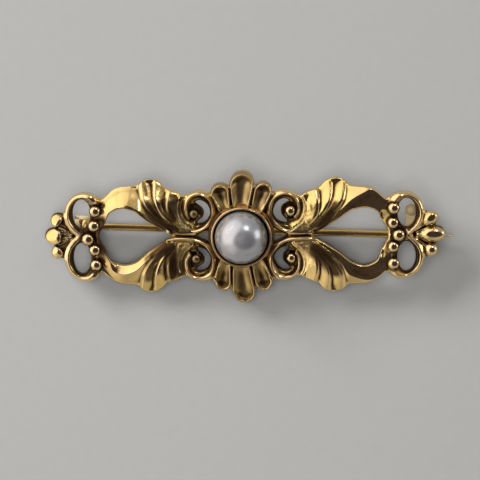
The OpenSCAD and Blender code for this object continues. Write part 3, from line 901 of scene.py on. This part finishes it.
# Painted shade, with some patina in the crevices, round the scroll's eye, the cup's foot and the
# bead rows, and on the left beads' web
web = ramp(face_u, 16.4, 17.6) * fade(face_v, 1.9, 3.4) * (face_xy[:, 0] < 0)
shade_and_patina_parts += [0.6 * fade(far_from(quarter, SCROLL_EYE), 0.8, 1.3) * fade(top, 1.2, 1.4),
           0.35 * fade(far_from(face_xy, (0, 0)), 4.2, 4.5),
           0.85 * (web * fade(face_u, 19.2, 20.2))]
shade_and_patina_parts += [0.8 - 0.8 * ramp(far_from(face_xy, (x, y)), r + 0.1, r + 0.35)
           for x, y, z, r in GRAINS]
shade_and_patina_level = np.maximum.reduce(shade_and_patina_parts)
rub *= 1 - 0.5 * (face_u < 4.2) * (face_v > 3)
rub *= 1 - ramp(shade_and_patina_level, 0.4, 0.8)
opening_rim = np.arange(n_rim) >= len(outlines[0])
rub[:n_rim] = rim_rub = np.where(opening_rim, 0, 0.8)
# The middle palmette's scoops get painted shade for their dark reflections
scooped = (face_u < 4.0) * (face_v > 3.2) * fade(top, 1.5, 1.6)
shade_and_patina_level = np.maximum(unit(shade_and_patina_level), 0.42 * scooped)
# Patina and painted shade: the mask above on the face, full brown on the openings' walls, a little
# on the outer walls and the back
paint(casting, on_casting(shade_and_patina_level, np.where(opening_rim, 1.0, 0.25), 0.1), "hollow")
paint(casting, on_casting(rub, rim_rub), "rubbed")
paint(casting, on_casting(np.maximum(0.3 * scooped, 0.8 * punched)), "satin")
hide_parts("frame")


# Turned pieces
def turned(profile, steps=128):
    """A closed turned piece about Z; its profile of (radius, height) begins and ends on Z."""
    profile = np.array(profile, float)
    on = profile[1:-1]
    ang = np.arange(steps) * 2 * np.pi / steps
    pts = [[0, 0, profile[0, 1]]]
    for r, z in on:
        pts += [[r * math.cos(a), r * math.sin(a), z] for a in ang]
    pts.append([0, 0, profile[-1, 1]])
    faces = []
    for i in range(steps):
        j = (i + 1) % steps
        faces.append([0, 1 + j, 1 + i])
        for k in range(len(on) - 1):
            a = 1 + k * steps
            faces.append([a + i, a + j, a + steps + j, a + steps + i])
        a = 1 + (len(on) - 1) * steps
        faces.append([a + i, a + j, len(pts) - 1])
    return np.array(pts), faces


cup_line = smooth_line([(4.0, 0.35), (4.12, 0.6), (4.15, 1.0), (4.1, 1.38), (4.04, 1.52),
                        (3.97, 1.62), (3.93, 1.75), (3.89, 1.98), (3.84, 2.2), (3.78, 2.33),
                        (3.69, 2.4), (3.6, 2.38), (3.52, 2.27), (3.47, 2.0), (3.33, 1.3),
                        (2.92, 0.6), (2.7, 0.12)], 4)
cup_pts, cup_faces = turned(np.vstack([[[0, -0.3], [3.4, -0.3]], cup_line, [[0, 0.1]]]))
for p in cup_pts:
    if math.hypot(p[0], p[1]) > 3:
        a = math.atan2(p[1], p[0])
        p[:2] *= 1 + 0.006 * noise.noise((2 * math.cos(a), 2 * math.sin(a), p[2] * 0.5))
cup = piece("cup", plain_mesh("cup", cup_pts, cup_faces), cup_gold)
CUP_INNER = 3.53
# Painted shade inside the cup under the pearl and down the cup's wall towards its foot
paint(cup, [1.0 if math.hypot(x, y) < CUP_INNER else 0.1 + 0.4 * (1 - float(ramp(z, 1.6, 2.2)))
            for x, y, z in cup_pts], "hollow")
paint(cup, [0.5] * len(cup_pts), "rubbed")

PEARL_R, PEARL_LEVEL, PEARL_FLAT = 3.3, 2.3, 0.15
ball = [(PEARL_R * math.sin(t), PEARL_LEVEL - PEARL_R * math.cos(t))
        for t in np.linspace(0.84, math.pi, 90)]
flat_r = math.sqrt(PEARL_R**2 - (PEARL_LEVEL - PEARL_FLAT)**2)
ball = [(0, PEARL_FLAT), (flat_r - 0.04, PEARL_FLAT)] + ball[1:-1] + [(0, ball[-1][1])]
pearl_pts, pearl_faces = turned(ball, 160)
for p in pearl_pts:
    if p[2] > PEARL_FLAT + 0.05:
        c = Vector((p[0], p[1], p[2] - PEARL_LEVEL))
        p[:2] *= 1 - 0.004 + 0.006 * noise.noise(c * 0.35)
pearl = piece("pearl_bead", plain_mesh("pearl", pearl_pts, pearl_faces), nacre)
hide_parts("pearl")


# Grown pieces
def growing_rule(name, inputs):
    """A new rule: its nodes, and the wires of its named inputs."""
    net = Net(bpy.data.node_groups.new(name, "GeometryNodeTree"), "GeometryNode")
    sockets = net.tree.interface
    sockets.new_socket("Geometry", in_out="OUTPUT", socket_type="NodeSocketGeometry")
    for label, kind in inputs.items():
        sockets.new_socket(label, in_out="INPUT", socket_type="NodeSocket" + kind)
    source = net.tree.nodes.new("NodeGroupInput")
    return net, {label: Wire(net, source.outputs[label]) for label in inputs}


def close_rule(net, shape, finish):
    made = net.add("RealizeInstances", {0: shape})
    net.end("NodeGroupOutput", net.add("SetMaterial", {0: made, 2: finish}))


def result(obj):
    """The plain mesh that an object's modifiers make."""
    seen = obj.evaluated_get(bpy.context.evaluated_depsgraph_get())
    return bpy.data.meshes.new_from_object(seen)


def grown(name, mesh, net, values):
    """Runs a growing rule on a mesh and keeps the plain mesh that comes out."""
    obj = placed(name, mesh)
    rule = obj.modifiers.new("rule", "NODES")
    rule.node_group = net.tree
    for item in net.tree.interface.items_tree:
        if item.in_out == "INPUT" and item.name in values:
            rule[item.identifier] = values[item.name]
    made = result(obj)
    obj.modifiers.clear()
    obj.data = made
    made.transform(TO_REST)
    made.shade_smooth()
    return obj


net, takes = growing_rule("grains", {"Places": "Geometry", "Segments": "Int",
                                     "Finish": "Material"})
size = net.add("InputNamedAttribute", {0: "size"}, data_type="FLOAT")
grain = net.add("MeshUVSphere", {"Segments": takes["Segments"], "Rings": 20, "Radius": 1.0})
grain = net.add("Transform", {0: grain, "Scale": (1, 1, 0.75)})
spread = net.add("InstanceOnPoints", {"Points": takes["Places"], "Instance": grain,
                                      "Scale": size})
close_rule(net, spread, takes["Finish"])
places = bpy.data.meshes.new("grain_places")
places.from_pydata([g[:3] for g in GRAINS], [], [])
places.attributes.new("size", "FLOAT", "POINT").data.foreach_set("value", [g[3] for g in GRAINS])
grains = grown("grains", places, net, {"Segments": 40, "Finish": gold})
# Painted shade round their feet, with some patina; the left scrolls' eyes are painted darker all
# over
to_flat = TO_REST.inverted()
feet = []
for vertex in grains.data.vertices:
    at = to_flat @ vertex.co
    x, y, z, r = min(GRAINS, key=lambda g: (g[0] - at.x)**2 + (g[1] - at.y)**2)
    foot = 1 - float(ramp((at.z - z) / r, 0.0, 0.5))
    feet.append(max(foot, 0.55) if -8 < x < 0 else foot)
paint(grains, feet, "hollow")
paint(grains, [0.8] * len(feet), "rubbed")

# Hinge, pin and hook
KNUCKLE_R, KNUCKLE_HALF, EAR_THICK, EAR_INNER = 0.75, 0.55, 0.5, 0.6
EAR_OUTER = EAR_INNER + EAR_THICK
RIVET_R, EAR_BORE, KNUCKLE_BORE = 0.3, 0.32, 0.35
PIN_R, POINT_R, PIN_START, PIN_LENGTH, TAPER = 0.45, 0.1, 0.42, 46.1, 6.8
SHARP_ANGLE = math.radians(35)


def block(low, high, place=None):
    (x0, y0, z0), (x1, y1, z1) = low, high
    pts = [(x, y, z) for z in (z0, z1) for y in (y0, y1) for x in (x0, x1)]
    faces = [(0, 2, 3, 1), (4, 5, 7, 6), (0, 1, 5, 4), (2, 6, 7, 3), (0, 4, 6, 2), (1, 3, 7, 5)]
    return plain_mesh("block", pts, faces, place)


def plate(outline, y0, y1):
    """A plate at the hinge from a convex outline in X and Z, between two levels of Y."""
    n = len(outline)
    pts = [(x, y, z) for y in (y0, y1) for x, z in outline]
    faces = [list(range(n)), list(range(2 * n - 1, n - 1, -1))]
    faces += [[i, n + i, n + (i + 1) % n, (i + 1) % n] for i in range(n)]
    return plain_mesh("plate", pts, faces, TO_HINGE)


def on_hinge(profile, steps):
    """A turned piece on the hinge's axis."""
    pts, faces = turned(profile, steps)
    return plain_mesh("turned", [(x, z, -y) for x, y, z in pts], faces, TO_HINGE)


def rod(r, half, round_r=0.05):
    """A rod on the hinge's axis with softly rounded ends."""
    end = [(0, -half), (r - round_r, -half), (r - 0.3 * round_r, -half + 0.3 * round_r),
           (r, -half + round_r)]
    return on_hinge(end + [(x, -y) for x, y in end[::-1]], 64)


def arc(r, degrees):
    return [(r * math.cos(t), r * math.sin(t)) for t in np.radians(degrees)]


def carved(base, added, removed, round_r=0.06):
    """One closed mesh: the added meshes welded on, the removed ones cut out, edges rounded."""
    obj = linked("base", base)
    tools = []
    for how, meshes in (("UNION", added), ("DIFFERENCE", removed)):
        for mesh in meshes:
            tools.append(linked("tool", mesh))
            step = obj.modifiers.new("weld", "BOOLEAN")
            step.object, step.operation, step.solver = tools[-1], how, "MANIFOLD"
    if round_r:
        edge = obj.modifiers.new("edges", "BEVEL")
        edge.width, edge.segments = round_r, 2
        edge.limit_method, edge.angle_limit = "ANGLE", math.radians(40)
    made = result(obj)
    for o in tools + [obj]:
        bpy.data.objects.remove(o)
    return made


ear_outline = arc(KNUCKLE_R, np.arange(90, -131, -10)) + [(-1.4, -0.15), (-1.4, KNUCKLE_R)]
ears = [plate(ear_outline, *sorted((s * EAR_INNER, s * EAR_OUTER))) for s in (-1, 1)]
back = block((-1.4, -EAR_OUTER, -0.15), (-0.85, EAR_OUTER, KNUCKLE_R), TO_HINGE)
post = block((-21.15, -0.35, -1.3), (-20.45, 1.15, 0.2))
bracket = carved(back, ears + [post], [rod(EAR_BORE, 2)])
piece("hinge_bracket", bracket, brushed_gold, sharp=SHARP_ANGLE)

along_x = Matrix(((0, 0, 1, 0), (0, 1, 0, 0), (-1, 0, 0, 0), (0, 0, 0, 1)))
line = [(0, PIN_START), (PIN_R, PIN_START), (PIN_R, 12), (PIN_R, 25)]
line += [(PIN_R + (POINT_R - PIN_R) * float(t)**1.15, PIN_LENGTH - TAPER + TAPER * float(t) - 0.05)
         for t in np.linspace(0, 1, 14)]
pts, faces = turned(line + [(0, PIN_LENGTH)], 48)
shaft = plain_mesh("shaft", pts, faces, TO_HINGE @ along_x)
shaft = carved(shaft, [rod(KNUCKLE_R, KNUCKLE_HALF)], [rod(KNUCKLE_BORE, 2)], 0)
pin = piece("pin", shaft, pin_gold, "pin", SHARP_ANGLE)
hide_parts("pin_stem")

RIVET_HALF = EAR_OUTER + 0.02
head = [(0, -RIVET_HALF - 0.16), (0.2, -EAR_OUTER - 0.17), (0.38, -EAR_OUTER - 0.11),
        (0.46, -RIVET_HALF), (RIVET_R, -RIVET_HALF)]
rivet = on_hinge(head + [(r, -z) for r, z in head[::-1]], 48)
rivet = piece("hinge_rivet", rivet, brushed_gold, sharp=SHARP_ANGLE)
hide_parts("rivet")

# The hook's strap follows a path across the pin, from its lip to its foot on the back
HOOK_MID_R, HOOK_THICK, HOOK_WIDTH, HOOK_BEND_R, LIP_ANGLE = 0.78967, 0.45, 1.5, 0.7, -61.01
FOOT_R, FOOT_EDGE = 0.75, 3.65
leg = HOOK_MID_R - HOOK_THICK / 2
rise = -HOOK_AT.z
path = arc(HOOK_MID_R, np.linspace(LIP_ANGLE, 0, 9))
path += [(HOOK_MID_R, z) for z in np.linspace(0.3, rise - HOOK_BEND_R - 0.1, 4)]
path += [(leg + HOOK_BEND_R - y, rise - HOOK_BEND_R + z)
         for y, z in arc(HOOK_BEND_R - HOOK_THICK / 2, np.arange(0, 91, 15))]
path += [(FOOT_EDGE - HOOK_AT.y - FOOT_R, rise - HOOK_THICK / 2 + 0.02)]
net, takes = growing_rule("hook_strap", {"Path": "Geometry", "Thickness": "Float",
                                         "Width": "Float", "Foot": "Vector",
                                         "Finish": "Material"})
curve = net.add("MeshToCurve", {0: takes["Path"]})
curve = net.add("SetCurveNormal", {0: curve})
section = net.add("CurvePrimitiveQuadrilateral", {0: takes["Width"], 1: takes["Thickness"]})
section = net.add("FilletCurve", {0: section, "Radius": 0.1, "Count": 4}, mode="POLY")
strap = net.add("CurveToMesh", {0: curve, 1: section, "Fill Caps": True})
foot = net.add("MeshCylinder", {"Vertices": 40, "Radius": FOOT_R, "Depth": takes["Thickness"]},
               fill_type="NGON")
foot = net.add("Transform", {0: foot, "Translation": takes["Foot"]})
both = net.add("JoinGeometry", {0: strap})
net.tree.links.new(foot.socket, both.socket.node.inputs[0])
close_rule(net, both, takes["Finish"])
points = [(HOOK_AT.x, HOOK_AT.y + y, HOOK_AT.z + z) for y, z in path]
hook_path = bpy.data.meshes.new("hook_path")
hook_path.from_pydata(points, [(i, i + 1) for i in range(len(points) - 1)], [])
grown("hook", hook_path, net, {"Thickness": HOOK_THICK, "Width": HOOK_WIDTH,
                               "Foot": (HOOK_AT.x, FOOT_EDGE - FOOT_R, -HOOK_THICK / 2 + 0.02),
                               "Finish": brushed_gold})

# Floor, camera, light
DARK_PAPER, LIGHT_PAPER = (0.153, 0.153, 0.1518, 1), (0.165, 0.165, 0.1638, 1)
paper, net, place = material("floor_paper")
tone = net.mixed(net.clouds(place, 900, 4), DARK_PAPER, LIGHT_PAPER)
net.look({"Base Color": tone, "Roughness": 0.85})
corners = [(-1.5, -1.5, 0), (1.5, -1.5, 0), (1.5, 1.5, 0), (-1.5, 1.5, 0)]
floor = linked("floor", plain_mesh("floor", corners, [(0, 1, 2, 3)]))
floor.data.materials.append(paper)

# The camera looks straight down on this point of the drawing
VIEW_CENTER = Vector((-0.175, -0.59, 1.0))
CAMERA_HEIGHT, VIEW_WIDTH, SENSOR_WIDTH, CAMERA_TURN = 0.35, 0.060, 36, -0.0055
camera = bpy.data.cameras.new("camera")
camera.sensor_width = SENSOR_WIDTH
camera.lens = SENSOR_WIDTH * CAMERA_HEIGHT / VIEW_WIDTH
camera.clip_start = 0.01
view = linked("camera", camera)
view.location = TO_REST @ VIEW_CENTER + Vector((0, 0, CAMERA_HEIGHT))
view.rotation_euler = (0, 0, CAMERA_TURN)
bpy.context.scene.camera = view

world = bpy.data.worlds.new("room")
bpy.context.scene.world = world
net = net_of(world)
look = net.add("TexCoord", out=0)
parts = net.add("SeparateXYZ", [look]).socket.node
across, upward = Wire(net, parts.outputs[0]), Wire(net, parts.outputs[1])
# The unlit ceiling over the table is dark, towards the lower right
oval = ((across - 0.17) / 0.74)**2 + ((upward + 0.15) / 0.66)**2
room = oval.between(0.85, 1.12)
walls = (0.5 + (0.0 - across).between(0.15, 0.6, 0.0, 0.36)
         - (across + upward).between(0.3, 1.2, 0.0, 0.12)
         - (across * 0.5 + upward).between(-0.5, -1.0, 0.0, 0.08))
patch = net.clouds(look, 1.8, 1).between(0.3, 0.7, 0.85, 1.12)
murk = net.clouds(look, 5, 2).between(0.4, 0.7, 0.025, 0.075)
hue = net.mixed(room, (1.0, 0.85, 1.1, 1), (1.0, 0.95, 0.84, 1))
light = net.add("Background", {0: hue, 1: murk + room * (walls * patch - murk)})
net.end("ShaderNodeOutputWorld", light)


def soft_light(name, toward, far, size, power, color, shape="RECTANGLE"):
    """A soft light in a direction from the brooch."""
    data = bpy.data.lights.new(name, "AREA")
    data.shape, data.energy, data.color = shape, power, color
    data.size, data.size_y = size
    lamp = linked(name, data)
    lamp.location = Vector(toward).normalized() * far
    lamp.rotation_euler = (-Vector(toward)).to_track_quat("-Z", "Y").to_euler()
    lamp.visible_camera = False
    return lamp


window = soft_light("window_light", (-0.75, 0.44, 0.49), 0.6, (1.5, 0.86), 2.5, (1, 0.98, 1.02))
window.visible_diffuse = False
soft_light("round_lamp", (0.36, 0.66, 0.67), 0.5, (0.12, 0.12), 0.24, (1, 0.98, 0.95), "DISK")
soft_light("side_light", (0.985, 0.2, 0.12), 0.5, (0.22, 0.34), 0.42, (0.95, 0.97, 1))
# What lights the floor: the window's glow and the daylight from overhead
for glow in (("window_glow", (-0.65, 0.515, 0.42), 0.66, (0.38, 0.21), 12.2),
             ("overhead_glow", (-0.1, -0.1, 0.98), 0.28, (0.18, 0.18), 1.14)):
    soft_light(*glow, (1, 0.99, 0.97)).visible_glossy = False
bpy.context.scene.view_settings.view_transform = "Standard"
